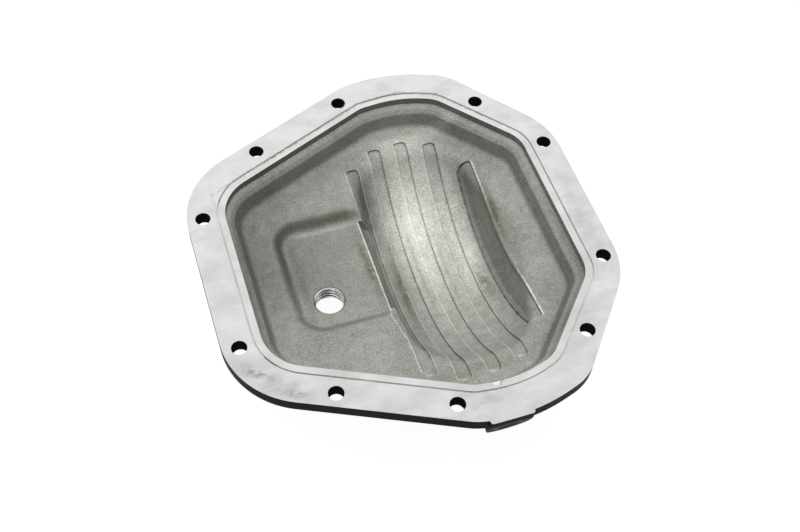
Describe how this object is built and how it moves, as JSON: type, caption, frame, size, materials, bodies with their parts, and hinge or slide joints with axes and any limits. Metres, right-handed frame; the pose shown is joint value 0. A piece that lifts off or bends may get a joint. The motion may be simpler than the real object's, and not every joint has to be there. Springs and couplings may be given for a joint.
{
  "type": "differential cover",
  "caption": "Cast aluminium differential cover with a flat bolted flange, sealant groove, domed ribbed back, and threaded fill and drain ports.",
  "frame": {"origin": "on the sealing face and the axle line, midway between the top and bottom centre bolts", "axes": "+Z out of the sealing face towards the axle housing, +Y up the vehicle, +X along the axle towards the crown wheel side"},
  "size_m": [0.2755, 0.3029, 0.0778],
  "materials": {
    "casting": "as cast inside, machined on the sealing face, black paint outside"
  },
  "bodies": {
    "root": {"differential_cover": "casting"}
  },
  "joints": []
}
